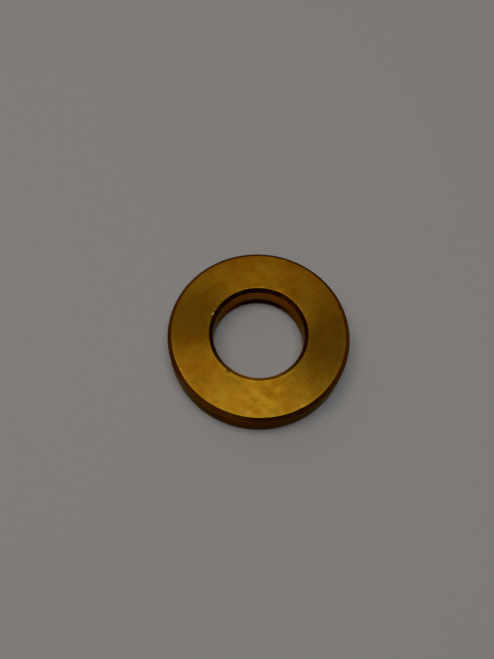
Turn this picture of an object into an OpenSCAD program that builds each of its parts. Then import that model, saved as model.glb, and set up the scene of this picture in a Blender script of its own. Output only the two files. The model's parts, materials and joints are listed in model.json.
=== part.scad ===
// Flat washer, turned from solid brass bar. It is one piece: a thick flat ring with a
// plain round bore and a 45-degree chamfer on every corner.
// +Z runs along the bore, and the origin is the bore's centre in the bottom face.

/* [Ring] */
// Outside diameter
outside_d = 25.4; // [20:0.1:32]
// Bore diameter, between the chamfers
bore_d = 12.8; // [8:0.1:16]
// Thickness, from face to face
thickness = 4.4; // [2.5:0.01:8]

/* [Corners] */
// Chamfer on the two outer corners, as wide as it is high
rim_chamfer = 0.6; // [0.1:0.05:1]
// Chamfer at the two ends of the bore, as wide as it is high
bore_chamfer = 0.55; // [0.1:0.05:1]

/* [Hidden] */

// Facets around the ring in a preview
ring_facets = 180;

outside_r = outside_d / 2;
bore_r = bore_d / 2;

// The ring cut through on one side: X is the distance from the bore's axis, Y the height
module cross_section() {
    bottom_face = [[bore_r + bore_chamfer, 0], [outside_r - rim_chamfer, 0]];
    rim = [[outside_r, rim_chamfer], [outside_r, thickness - rim_chamfer]];
    top_face = [[outside_r - rim_chamfer, thickness], [bore_r + bore_chamfer, thickness]];
    bore = [[bore_r, thickness - bore_chamfer], [bore_r, bore_chamfer]];
    polygon(concat(bottom_face, rim, top_face, bore));
}

module washer() {
    color("darkgoldenrod")
        rotate_extrude($fn = ring_facets)
            cross_section();
}

washer();
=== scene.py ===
import json
import math
import random
from collections import namedtuple

import bpy
from mathutils import Matrix, Vector, noise


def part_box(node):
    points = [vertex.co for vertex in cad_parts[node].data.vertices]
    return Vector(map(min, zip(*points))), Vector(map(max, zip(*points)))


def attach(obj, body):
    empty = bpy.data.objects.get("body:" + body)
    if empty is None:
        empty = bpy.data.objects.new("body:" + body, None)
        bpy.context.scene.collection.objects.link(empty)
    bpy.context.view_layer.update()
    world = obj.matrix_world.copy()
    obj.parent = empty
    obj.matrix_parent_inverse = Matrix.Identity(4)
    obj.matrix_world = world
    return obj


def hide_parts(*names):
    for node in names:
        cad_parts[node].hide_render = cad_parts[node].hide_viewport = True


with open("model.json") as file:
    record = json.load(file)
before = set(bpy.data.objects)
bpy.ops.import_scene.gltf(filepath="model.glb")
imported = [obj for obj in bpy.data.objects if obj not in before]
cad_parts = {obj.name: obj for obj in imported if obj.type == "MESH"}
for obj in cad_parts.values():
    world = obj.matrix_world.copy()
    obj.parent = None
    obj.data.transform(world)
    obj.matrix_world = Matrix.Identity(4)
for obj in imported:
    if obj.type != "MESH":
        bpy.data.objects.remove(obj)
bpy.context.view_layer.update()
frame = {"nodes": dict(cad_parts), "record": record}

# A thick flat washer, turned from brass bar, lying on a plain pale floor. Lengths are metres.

MM = 0.001

# ---- The washer's dimensions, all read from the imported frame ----

low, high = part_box("washer")
outside_r = high.x
thickness = high.z - low.z
corners = [vertex.co for vertex in frame["nodes"]["washer"].data.vertices]
top_radii = [corner.xy.length for corner in corners if corner.z > high.z - 0.01 * MM]
face_inner_r = min(top_radii)
face_outer_r = max(top_radii)
mounts = {mount["name"]: mount for mount in frame["record"]["mounts"]}
bore_r = mounts["bore"]["dims"]["r_mm"] * MM
rim_chamfer = outside_r - face_outer_r
bore_chamfer = face_inner_r - bore_r

# ---- How finely the ring is made ----

SEGMENTS = 360                  # round the ring
EDGE_ROUND = 0.11 * MM          # radius left on every corner by a touch of emery
EDGE_STEPS = 3                  # faces across each rounded corner
FACE_RINGS = 84                 # across each flat face: four to a feed mark
RIM_RINGS = 24
BORE_RINGS = 16
CHAMFER_RINGS = 4
FEED_MARK = 0.25 * MM           # the lathe tool's feed on the faces
FEED_DEPTH = 0.0022 * MM
WAVE_LENGTH = 3.2 * MM          # the faces' slow unevenness from wear and lapping
WAVE_DEPTH = 0.005 * MM
MARK_DEPTH = 0.006 * MM         # of the finer turning marks, which the material draws
SEED = 11

# Dents in the top corners as (angle round the ring, corner, width, depth); negative depth stands proud.
DENTS = [
    (159, "bore", 0.36 * MM, -0.06 * MM),
    (155, "bore", 0.20 * MM, 0.03 * MM),
    (236, "bore", 0.44 * MM, 0.08 * MM),
    (1, "bore", 0.22 * MM, 0.03 * MM),
    (68, "bore", 0.70 * MM, 0.06 * MM),
    (62, "bore wall", 0.60 * MM, 0.10 * MM),
    (212, "rim", 0.40 * MM, 0.04 * MM),
    (301, "rim", 0.55 * MM, 0.03 * MM),
    (24, "rim", 0.38 * MM, 0.04 * MM),
    (118, "rim", 0.46 * MM, 0.03 * MM),
]

# Rubbed (above 0) and stained (below 0) patches of the top face, as
# (x, y, direction in degrees, length, width, strength); lengths in millimetres.
PATCHES = [
    (0.8, -9.3, -39, 5.2, 1.3, 0.45),
    (0.3, -11.2, 5, 1.9, 1.1, -0.40),
    (-1.4, -10.3, -40, 2.8, 1.5, -0.40),
    (2.2, -8.9, -40, 3.0, 1.4, -0.40),
    (-4.6, -9.6, 20, 2.4, 1.4, 0.40),
    (3.3, -7.9, 10, 2.0, 1.2, 0.40),
    (6.4, 6.8, 137, 9.5, 5.5, -0.30),
    (-1.5, 8.5, 10, 4.0, 2.2, 0.25),
]

# Bright spots near the top face's edges, bare brass that is partly a painted glint: one on the burr at the
# bore's left edge and one on the outer edge at the front; as (x, y, direction, length, width, strength).
BARE_AND_GLINT_SPOTS = [
    (-6.52, 2.50, 70, 0.90, 0.50, 0.55),
    (-0.87, -11.55, 0, 1.10, 0.60, 0.18),
]

TARNISH_AND_HIGHLIGHT_TINT = (0.87, 1.06, 1.8, 1)       # multiplies the brass where its tarnish is greener, and toward the front right, where it paints the highlight yellower
# the colour of the bare spots, paler than the brass, which also paints their glints
BARE_BRASS_AND_GLINT = (0.95, 0.72, 0.26, 1)

# Painted shade on a surface, darker low down on one side of the ring: its colour and depth, the sine of the
# angle round the ring at which it starts and is full, and the height in millimetres that it reaches.
PaintedShade = namedtuple("PaintedShade", "colour depth start full reach")
ALL_THE_WAY_UP = thickness / MM + 1     # past the top, however it is mottled

# ---- The ring ----

FACE, RIM_CHAMFER, RIM, BORE_CHAMFER, BORE = range(5)       # material slots of the ring


def arc(before, corner, after, radius, steps):
    """Points of the arc that rounds a corner off, from its first side to its second."""
    back = (before - corner).normalized()
    ahead = (after - corner).normalized()
    half_angle = back.angle(ahead) / 2
    centre = corner + (back + ahead).normalized() * (radius / math.sin(half_angle))
    reach = radius / math.tan(half_angle)
    start = corner + back * reach - centre
    end = corner + ahead * reach - centre
    turn = math.pi - 2 * half_angle
    points = []
    for step in range(steps + 1):
        along = step / steps
        share = math.sin((1 - along) * turn), math.sin(along * turn)
        points.append(centre + (start * share[0] + end * share[1]) / math.sin(turn))
    return points


def cross_section():
    """The ring's closed outline as (point, material slot, share along its run, outward normal) for each
    ring of vertices.

    X of a point is its distance from the axis and Y its height. It runs along the bottom face
    outwards, up the rim, back along the top face and down the bore. A rounded corner has share 0."""
    rim_top = thickness - rim_chamfer
    bore_top = thickness - bore_chamfer
    runs = [
        # corner, the slot of its rounding, and the slot and the rings of the run that follows it
        ((face_inner_r, 0), FACE, FACE, FACE_RINGS),
        ((face_outer_r, 0), FACE, RIM_CHAMFER, CHAMFER_RINGS),
        ((outside_r, rim_chamfer), RIM_CHAMFER, RIM, RIM_RINGS),
        ((outside_r, rim_top), RIM_CHAMFER, RIM_CHAMFER, CHAMFER_RINGS),
        ((face_outer_r, thickness), FACE, FACE, FACE_RINGS),
        ((face_inner_r, thickness), FACE, BORE_CHAMFER, CHAMFER_RINGS),
        ((bore_r, bore_top), BORE_CHAMFER, BORE, BORE_RINGS),
        ((bore_r, bore_chamfer), BORE_CHAMFER, BORE_CHAMFER, CHAMFER_RINGS),
    ]
    count = len(runs)
    corners = [Vector(run[0]) for run in runs]
    arcs = [arc(corners[i - 1], corners[i], corners[(i + 1) % count], EDGE_ROUND, EDGE_STEPS)
            for i in range(count)]
    outline = []
    for i, (_, rounding_slot, slot, rings) in enumerate(runs):
        start = arcs[i][-1]
        run = arcs[(i + 1) % count][0] - start
        outward = Vector((run.y, -run.x)).normalized()
        for point in arcs[i][:-1]:
            outline.append((point, rounding_slot, 0.0, outward))
        for step in range(rings):
            share = step / rings
            outline.append((start + run * share, slot, share, outward))
    return outline


def feed_depths():
    """How deep each feed mark of a face is, from its inner edge to its outer one."""
    marks = int((face_outer_r - face_inner_r) / FEED_MARK) + 2
    return [FEED_DEPTH * random.uniform(0.35, 1.0) for _ in range(marks)]


def face_sink(point, share, angle, depths):
    """How far a point of a flat face lies under the true plane, from feed marks and wear."""
    position = (point.x - face_inner_r) / FEED_MARK
    groove = depths[int(position)] * (0.5 - 0.5 * math.cos(math.tau * position))
    place = Vector((math.cos(angle) * point.x, math.sin(angle) * point.x, point.y))
    wave = WAVE_DEPTH * (0.5 + 0.5 * noise.noise(place / WAVE_LENGTH))
    ends = min(1.0, 12 * share * (1 - share))
    return (groove + wave) * ends


def dent_shift(point, angle):
    """How far the dents push a point back from its corner, as (away from the axis, upward)."""
    corners = {
        "bore": Vector((face_inner_r, thickness)),
        "bore wall": Vector((bore_r, thickness - bore_chamfer)),
        "rim": Vector((face_outer_r, thickness)),
    }
    shift = Vector((0, 0))
    for degrees, where, width, depth in DENTS:
        corner = corners[where]
        turn = (angle - math.radians(degrees) + math.pi) % math.tau - math.pi
        away = math.hypot(turn * corner.x, (point - corner).length)
        if away < 3 * width:
            into_metal = Vector((-1, -1)) if where == "rim" else Vector((1, -1))
            shift += into_metal.normalized() * depth * math.exp(-(away / width * 2) ** 2)
    return shift


def turned_ring():
    """The washer's mesh: its outline turned about Z, with its feed marks, wear and dents."""
    outline = cross_section()
    depths = feed_depths()
    vertices = []
    for point, slot, share, outward in outline:
        for segment in range(SEGMENTS):
            angle = math.tau * segment / SEGMENTS
            place = point.copy()
            if slot == FACE:
                place -= outward * face_sink(point, share, angle, depths)
            if point.y > thickness / 2:
                place += dent_shift(point, angle)
            vertices.append((place.x * math.cos(angle), place.x * math.sin(angle), low.z + place.y))
    faces = []
    materials = []
    for ring, (_, slot, _, _) in enumerate(outline):
        here = ring * SEGMENTS
        there = (ring + 1) % len(outline) * SEGMENTS
        for segment in range(SEGMENTS):
            after = (segment + 1) % SEGMENTS
            faces.append((here + segment, here + after, there + after, there + segment))
            materials.append(slot)
    mesh = bpy.data.meshes.new("turned_ring")
    mesh.from_pydata(vertices, [], faces)
    mesh.polygons.foreach_set("material_index", materials)
    mesh.polygons.foreach_set("use_smooth", [True] * len(faces))
    mesh.update()
    return mesh


# ---- Brass ----


class Nodes:
    """The node tree of a material or the world, with short calls that add nodes to it and link them."""

    def __init__(self, owner):
        self.tree = owner.node_tree

    def add(self, kind, **settings):
        node = self.tree.nodes.new(kind)
        for name, value in settings.items():
            setattr(node, name, value)
        return node

    def feed(self, socket, value):
        """Link another socket to this one, or give it a plain value."""
        if isinstance(value, bpy.types.NodeSocket):
            self.tree.links.new(value, socket)
        else:
            socket.default_value = value

    def math(self, operation, *values):
        node = self.add("ShaderNodeMath", operation=operation)
        for socket, value in zip(node.inputs, values):
            self.feed(socket, value)
        return node.outputs[0]

    def scaled(self, vector, factor):
        node = self.add("ShaderNodeVectorMath", operation="SCALE")
        self.feed(node.inputs[0], vector)
        self.feed(node.inputs["Scale"], factor)
        return node.outputs[0]

    def noise(self, vector, scale, detail=2.0, roughness=0.5, distortion=0.0):
        node = self.add("ShaderNodeTexNoise")
        self.feed(node.inputs["Vector"], vector)
        node.inputs["Scale"].default_value = scale
        node.inputs["Detail"].default_value = detail
        node.inputs["Roughness"].default_value = roughness
        node.inputs["Distortion"].default_value = distortion
        return node.outputs["Fac"]

    def spread(self, value, low_in, high_in, low_out=0.0, high_out=1.0):
        """value, with low_in to high_in stretched to low_out to high_out, and held between these."""
        node = self.add("ShaderNodeMapRange", clamp=True)
        for socket, number in zip(node.inputs, (value, low_in, high_in, low_out, high_out)):
            self.feed(socket, number)
        return node.outputs[0]

    def plus(self, value, other, factor):
        """value + other x factor."""
        return self.math("MULTIPLY_ADD", other, factor, value)

    def blend(self, factor, first, second, mode="MIX"):
        node = self.add("ShaderNodeMix", data_type="RGBA", blend_type=mode)
        self.feed(node.inputs[0], factor)
        self.feed(node.inputs[6], first)
        self.feed(node.inputs[7], second)
        return node.outputs[2]


class BrassNodes(Nodes):
    """The nodes of one brass finish: its place on the ring, then its marks, stains, colour and relief."""

    def __init__(self, material):
        super().__init__(material)
        # Position in millimetres, then the distance from the axis and the direction round it.
        self.place = self.scaled(self.add("ShaderNodeTexCoord").outputs["Object"], 1 / MM)
        parts = self.add("ShaderNodeSeparateXYZ")
        self.feed(parts.inputs[0], self.place)
        self.x, self.y, self.z = parts.outputs
        x_squared = self.math("MULTIPLY", self.x, self.x)
        y_squared = self.math("MULTIPLY", self.y, self.y)
        self.radius = self.math("SQRT", self.math("ADD", x_squared, y_squared))
        self.around_x = self.math("DIVIDE", self.x, self.radius)
        self.around_y = self.math("DIVIDE", self.y, self.radius)
        # What several channels share.
        self.coarse_marks = self.turned_marks(4.0, 5.0)
        self.fine_marks = self.turned_marks(11.0, 9.0)
        self.mottle = self.noise(self.place, 0.75, detail=5.0, roughness=0.72, distortion=0.3)
        self.pits = self.spread(self.noise(self.place, 5.0, detail=2.0, roughness=0.7), 0.68, 0.78)
        self.rubbed = self.math("MAXIMUM", self.scuffs(118, 0.35, 5.0), self.scuffs(63, 0.25, 4.0))

    def turned_marks(self, per_mm, breaks):
        """Streaks round the axis: per_mm of them to a millimetre across. More breaks make them shorter."""
        across = self.add("ShaderNodeCombineXYZ")
        self.feed(across.inputs[0], self.math("MULTIPLY", self.around_x, breaks))
        self.feed(across.inputs[1], self.math("MULTIPLY", self.around_y, breaks))
        self.feed(across.inputs[2], self.math("MULTIPLY", self.radius, per_mm))
        streaks = self.add("ShaderNodeTexNoise", noise_dimensions="4D")
        self.feed(streaks.inputs["Vector"], across.outputs[0])
        self.feed(streaks.inputs["W"], self.math("MULTIPLY", self.z, per_mm))
        streaks.inputs["Scale"].default_value = 1.0
        streaks.inputs["Detail"].default_value = 2.0
        return streaks.outputs["Fac"]

    def scuffs(self, direction, across_mm, along_mm):
        """Faint straight rubs in one direction, so wide and so long, in a few patches."""
        turned = self.add("ShaderNodeMapping")
        self.feed(turned.inputs["Vector"], self.place)
        turned.inputs["Rotation"].default_value = (0, 0, math.radians(-direction))
        turned.inputs["Scale"].default_value = (1 / along_mm, 1 / across_mm, 1)
        rubs = self.spread(self.noise(turned.outputs[0], 1.0, detail=2.0, roughness=0.6), 0.52, 0.70)
        areas = self.spread(self.noise(self.place, 0.30, detail=1.0), 0.46, 0.62)
        return self.math("MULTIPLY", rubs, areas)

    def patch(self, at_x, at_y, direction, length, width):
        """A soft-edged oval on the top face: 1 at its middle and 0 at its edge."""
        oval = self.add("ShaderNodeMapping", vector_type="TEXTURE")
        self.feed(oval.inputs["Vector"], self.place)
        oval.inputs["Location"].default_value = (at_x, at_y, thickness / MM)
        oval.inputs["Rotation"].default_value = (0, 0, math.radians(direction))
        oval.inputs["Scale"].default_value = (length / 2, width / 2, 1)
        fade = self.add("ShaderNodeTexGradient", gradient_type="SPHERICAL")
        self.feed(fade.inputs["Vector"], oval.outputs[0])
        return self.spread(fade.outputs["Fac"], 0.0, 0.6)

    def toward(self, x_share, y_share):
        """How far a point lies in that direction from the axis, in millimetres."""
        return self.plus(self.math("MULTIPLY", self.y, y_share), self.x, x_share)

    def worn_edge_and_highlight(self):
        """1 along the two edges of a face, where handling has cleaned it, and fainter at the back: partly
        wear and partly a painted highlight, strongest along the front edges.
        """
        from_outer = self.math("SUBTRACT", face_outer_r / MM, self.radius)
        from_inner = self.math("SUBTRACT", self.radius, face_inner_r / MM)
        from_edge = self.plus(self.math("MINIMUM", from_outer, from_inner), self.mottle, 0.5)
        wear_and_highlight = self.spread(from_edge, 0.25, 0.75, 1.0, 0.0)
        return self.math("MULTIPLY", wear_and_highlight, self.spread(self.y, -4, 4, 1.0, 0.2))

    def dull_back(self):
        """1 along the outer edge at the back, where the brass is more tarnished."""
        outer_mm = face_outer_r / MM
        outer = self.spread(self.radius, outer_mm - 1.9, outer_mm - 0.3)
        return self.math("MULTIPLY", outer, self.spread(self.toward(0.2, 0.98), 4, 11))

    def stain(self, edge_wear_and_highlight):
        """How tarnished the brass is, from 0 to 1; lower along the edges of a face, partly from wear and
        partly as a painted highlight.
        """
        clouds = self.noise(self.place, 0.20, detail=2.0, distortion=0.5)
        stain = self.plus(self.math("MULTIPLY", clouds, 0.45), self.mottle, 0.55)
        stain = self.spread(stain, 0.38, 0.66)
        stain = self.math("MAXIMUM", stain, self.math("MULTIPLY", self.pits, 0.8))
        stain = self.math("ADD", stain, self.spread(self.coarse_marks, 0.3, 0.7, -0.12, 0.12))
        stain = self.plus(stain, self.rubbed, -0.35)
        # cleaner edges of a face: wear, and a painted highlight along the front edges
        stain = self.plus(stain, self.worn_edge_and_highlight(), -edge_wear_and_highlight)
        stain = self.plus(stain, self.dull_back(), 0.6)
        for *where, strength in PATCHES:
            stain = self.plus(stain, self.patch(*where), -strength)
        return self.spread(stain, 0.0, 1.0)

    def shade_amount(self, painted_shade):
        """How much of the brass is covered by painted shade: low down, mottled, and on one side of the
        ring.
        """
        height = self.plus(self.z, self.mottle, 0.4)
        low_down = self.spread(height, painted_shade.reach - 0.4, painted_shade.reach + 0.4, painted_shade.depth, 0.0)
        shade_amount = self.math("MULTIPLY", low_down, self.spread(self.around_y, painted_shade.start, painted_shade.full))
        return self.math("MULTIPLY", shade_amount, self.spread(self.mottle, 0.38, 0.56, 0.91, 1.0))

    def colour(self, clean, stained, edge_wear_and_highlight, painted_shade):
        """Brass between its clean and stained colours, greener in patches and yellower toward the front
        right as a painted highlight tint, with bare spots that are partly painted glints, and painted
        shade.
        """
        colour = self.blend(self.stain(edge_wear_and_highlight), (*clean, 1), (*stained, 1))
        green = self.noise(self.place, 0.6, detail=4.0, roughness=0.65)
        green = self.spread(green, 0.38, 0.68, 0.0, 0.8)
        # stronger toward the front right: a painted tint that makes the highlight there yellower
        green = self.math("ADD", green, self.spread(self.toward(0.35, -0.94), -9, 11, -0.22, 0.24))
        colour = self.blend(green, colour, TARNISH_AND_HIGHLIGHT_TINT, "MULTIPLY")
        # bare brass, which also paints glints on the burr and the front edge
        for *where, strength in BARE_AND_GLINT_SPOTS:
            colour = self.blend(self.math("MULTIPLY", self.patch(*where), strength), colour, BARE_BRASS_AND_GLINT)
        # painted shade, where the finish has some
        if painted_shade:
            colour = self.blend(self.shade_amount(painted_shade), colour, (*painted_shade.colour, 1))
        return colour

    def roughness(self, middle):
        """Roughness round a middle value: rougher where mottled, smoother where rubbed."""
        rough = self.spread(self.mottle, 0.32, 0.70, middle - 0.03, middle + 0.04)
        rough = self.math("ADD", rough, self.spread(self.fine_marks, 0.3, 0.7, -0.03, 0.03))
        return self.plus(rough, self.rubbed, -0.06)

    def relief(self):
        """The normal, bent by the turning marks and the pits."""
        height = self.plus(self.coarse_marks, self.fine_marks, 0.5)
        height = self.plus(height, self.pits, -0.3)
        bump = self.add("ShaderNodeBump")
        bump.inputs["Strength"].default_value = 1.0
        bump.inputs["Distance"].default_value = MARK_DEPTH
        self.feed(bump.inputs["Height"], height)
        return bump.outputs[0]


def brass(name, clean, stained, grazing, roughness, anisotropy, edge_wear_and_highlight=0.0, painted_shade=None):
    """Turned brass: fine marks round the axis, mottled tarnish, scuffs, and a sheen that follows the marks.

    clean and stained are its colours where it is cleanest and most tarnished, and grazing is its
    tint where it is seen along the surface. edge_wear_and_highlight is how much cleaner and paler the edges
    of a face are, partly from wear and partly as a painted highlight along the front. grime, when given, is
    painted shade."""
    material = bpy.data.materials.new(name)
    material.use_nodes = True
    nodes = BrassNodes(material)
    shader = material.node_tree.nodes["Principled BSDF"]
    nodes.feed(shader.inputs["Base Color"], nodes.colour(clean, stained, edge_wear_and_highlight, painted_shade))
    nodes.feed(shader.inputs["Roughness"], nodes.roughness(roughness))
    nodes.feed(shader.inputs["Normal"], nodes.relief())
    shader.inputs["Metallic"].default_value = 1.0
    shader.inputs["Specular Tint"].default_value = (*grazing, 1)
    shader.inputs["Anisotropic"].default_value = anisotropy
    shader.inputs["Anisotropic Rotation"].default_value = 0.25      # of a turn, so across the marks
    tangent = nodes.add("ShaderNodeTangent", direction_type="RADIAL", axis="Z")
    nodes.feed(shader.inputs["Tangent"], tangent.outputs[0])
    return material


# ---- The room: floor, lights and camera ----


def pale_floor():
    """A plain pale floor, wide enough to reach the horizon."""
    half = 1.5          # metres
    mesh = bpy.data.meshes.new("floor")
    corners = [(-half, -half, 0), (half, -half, 0), (half, half, 0), (-half, half, 0)]
    mesh.from_pydata(corners, [], [(0, 1, 2, 3)])
    floor = bpy.data.objects.new("floor", mesh)
    bpy.context.scene.collection.objects.link(floor)
    material = bpy.data.materials.new("pale_floor")
    material.use_nodes = True
    shader = material.node_tree.nodes["Principled BSDF"]
    shader.inputs["Base Color"].default_value = (0.84, 0.815, 0.835, 1)
    shader.inputs["Roughness"].default_value = 0.6
    shader.inputs["Specular IOR Level"].default_value = 0.2
    mesh.materials.append(material)


def soft_light(name, azimuth, elevation, distance, width, depth, power, colour):
    """A soft box that faces the washer from that azimuth, counted from +X, and elevation.

    Its width runs along X."""
    light = bpy.data.lights.new(name, "AREA")
    light.shape = "RECTANGLE"
    light.size = width
    light.size_y = depth
    light.energy = power
    light.color = colour
    box = bpy.data.objects.new(name, light)
    a, e = math.radians(azimuth), math.radians(elevation)
    back = Vector((math.cos(a) * math.cos(e), math.sin(a) * math.cos(e), math.sin(e)))
    across = (Vector((1, 0, 0)) - back * back.x).normalized()
    axes = Matrix((across, back.cross(across), back)).transposed().to_4x4()
    box.matrix_world = Matrix.Translation(back * distance) @ axes
    bpy.context.scene.collection.objects.link(box)


def studio_room(dark, pale, ceiling, walls_top):
    """The room around: pale walls behind and in front on the left, darker ones between, a dark ceiling.

    dark, pale and ceiling are brightnesses, and the walls fade out round walls_top degrees up."""
    world = bpy.data.worlds.new("room")
    world.use_nodes = True
    nodes = Nodes(world)
    background = world.node_tree.nodes["Background"]
    parts = nodes.add("ShaderNodeSeparateXYZ")
    nodes.feed(parts.inputs[0], nodes.add("ShaderNodeTexCoord").outputs["Generated"])
    x, y, z = parts.outputs

    def wall(azimuth, start, full):
        """1 on a pale stretch of wall round that azimuth, and 0 away from it.

        It fades in between start and full, which are cosines of the turn from its middle."""
        turn = math.radians(azimuth)
        along = nodes.plus(nodes.math("MULTIPLY", y, math.sin(turn)), x, math.cos(turn))
        return nodes.spread(along, start, full)

    walls = nodes.math("MAXIMUM", wall(105, 0.45, 0.95), wall(230, 0.74, 0.90))
    walls = nodes.spread(walls, 0.0, 1.0, dark, pale)
    top = math.sin(math.radians(walls_top))
    height = nodes.spread(z, top - 0.12, top + 0.12)
    nodes.feed(background.inputs["Strength"], nodes.spread(height, 0.0, 1.0, walls, ceiling))
    background.inputs["Color"].default_value = (1.0, 0.93, 0.84, 1)
    bpy.context.scene.world = world


def camera():
    """Looks down on the washer from the front, a little rolled, with it just right of and below centre."""
    tilt = math.radians(22.8)       # from straight down
    roll = math.radians(-3.85)
    distance = 7.51 * outside_r
    aside = Vector((0.122, -0.168)) * outside_r     # of the washer's foot from the line of sight
    forward = Vector((0, math.sin(tilt), -math.cos(tilt)))
    level_up = Vector((0, math.cos(tilt), math.sin(tilt)))
    right = Vector((1, 0, 0)) * math.cos(roll) - level_up * math.sin(roll)
    up = Vector((1, 0, 0)) * math.sin(roll) + level_up * math.cos(roll)
    data = bpy.data.cameras.new("camera")
    data.lens = 36
    data.sensor_width = 36
    data.clip_start = 0.005
    data.clip_end = 10
    eye = bpy.data.objects.new("camera", data)
    eye.matrix_world = (
        Matrix.Translation(-forward * distance - right * aside.x - up * aside.y)
        @ Matrix((right, up, -forward)).transposed().to_4x4()
    )
    bpy.context.scene.collection.objects.link(eye)
    bpy.context.scene.camera = eye


# ---- Making it ----

random.seed(SEED)

ring = bpy.data.objects.new("washer_ring", turned_ring())
finishes = [                    # in the order of the material slots
    # The face's cleaner, paler edges are partly wear and partly a painted highlight along the front.
    brass("face_brass", clean=(0.630, 0.290, 0.012), stained=(0.424, 0.151, 0.003),
          grazing=(1.0, 0.9, 0.6), roughness=0.37, anisotropy=0.68, edge_wear_and_highlight=0.5),
    brass("rim_chamfer_brass", clean=(0.31, 0.085, 0.003), stained=(0.23, 0.054, 0.002),
          grazing=(0.42, 0.46, 0.2), roughness=0.28, anisotropy=0.30),
    brass("rim_brass", clean=(0.33, 0.104, 0.005), stained=(0.27, 0.084, 0.004),
          grazing=(0.29, 0.30, 0.12), roughness=0.22, anisotropy=0.0),
    # Painted shade darkens the bore chamfer almost to black everywhere but at the front.
    brass("bore_chamfer_brass", clean=(0.95, 0.44, 0.06), stained=(0.84, 0.35, 0.04),
          grazing=(0.9, 0.7, 0.4), roughness=0.27, anisotropy=0.30,
          painted_shade=PaintedShade((0.12, 0.018, 0.004), depth=0.98, start=-0.93, full=-0.45, reach=ALL_THE_WAY_UP)),
    # Painted shade darkens the foot of the bore wall at the back, up to 2 mm high.
    brass("bore_brass", clean=(0.40, 0.150, 0.008), stained=(0.31, 0.105, 0.006),
          grazing=(0.50, 0.42, 0.26), roughness=0.20, anisotropy=0.0,
          painted_shade=PaintedShade((0.012, 0.003, 0.001), depth=1.0, start=0.62, full=0.92, reach=2.0)),
]
for finish in finishes:
    ring.data.materials.append(finish)
bpy.context.scene.collection.objects.link(ring)
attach(ring, "root")
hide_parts("washer")

pale_floor()
soft_light("overhead", azimuth=346, elevation=86.0, distance=0.6, width=0.29, depth=0.26,
           power=0.515, colour=(0.96, 1.0, 0.97))
soft_light("left", azimuth=171, elevation=66.9, distance=0.6, width=0.255, depth=0.266,
           power=0.32, colour=(1.0, 0.91, 0.80))
soft_light("back_left", azimuth=120, elevation=42, distance=0.7, width=0.51, depth=0.25,
           power=0.11, colour=(1.0, 0.91, 0.80))
studio_room(dark=0.05, pale=0.20, ceiling=0.015, walls_top=19)
camera()
bpy.context.scene.view_settings.view_transform = "Standard"
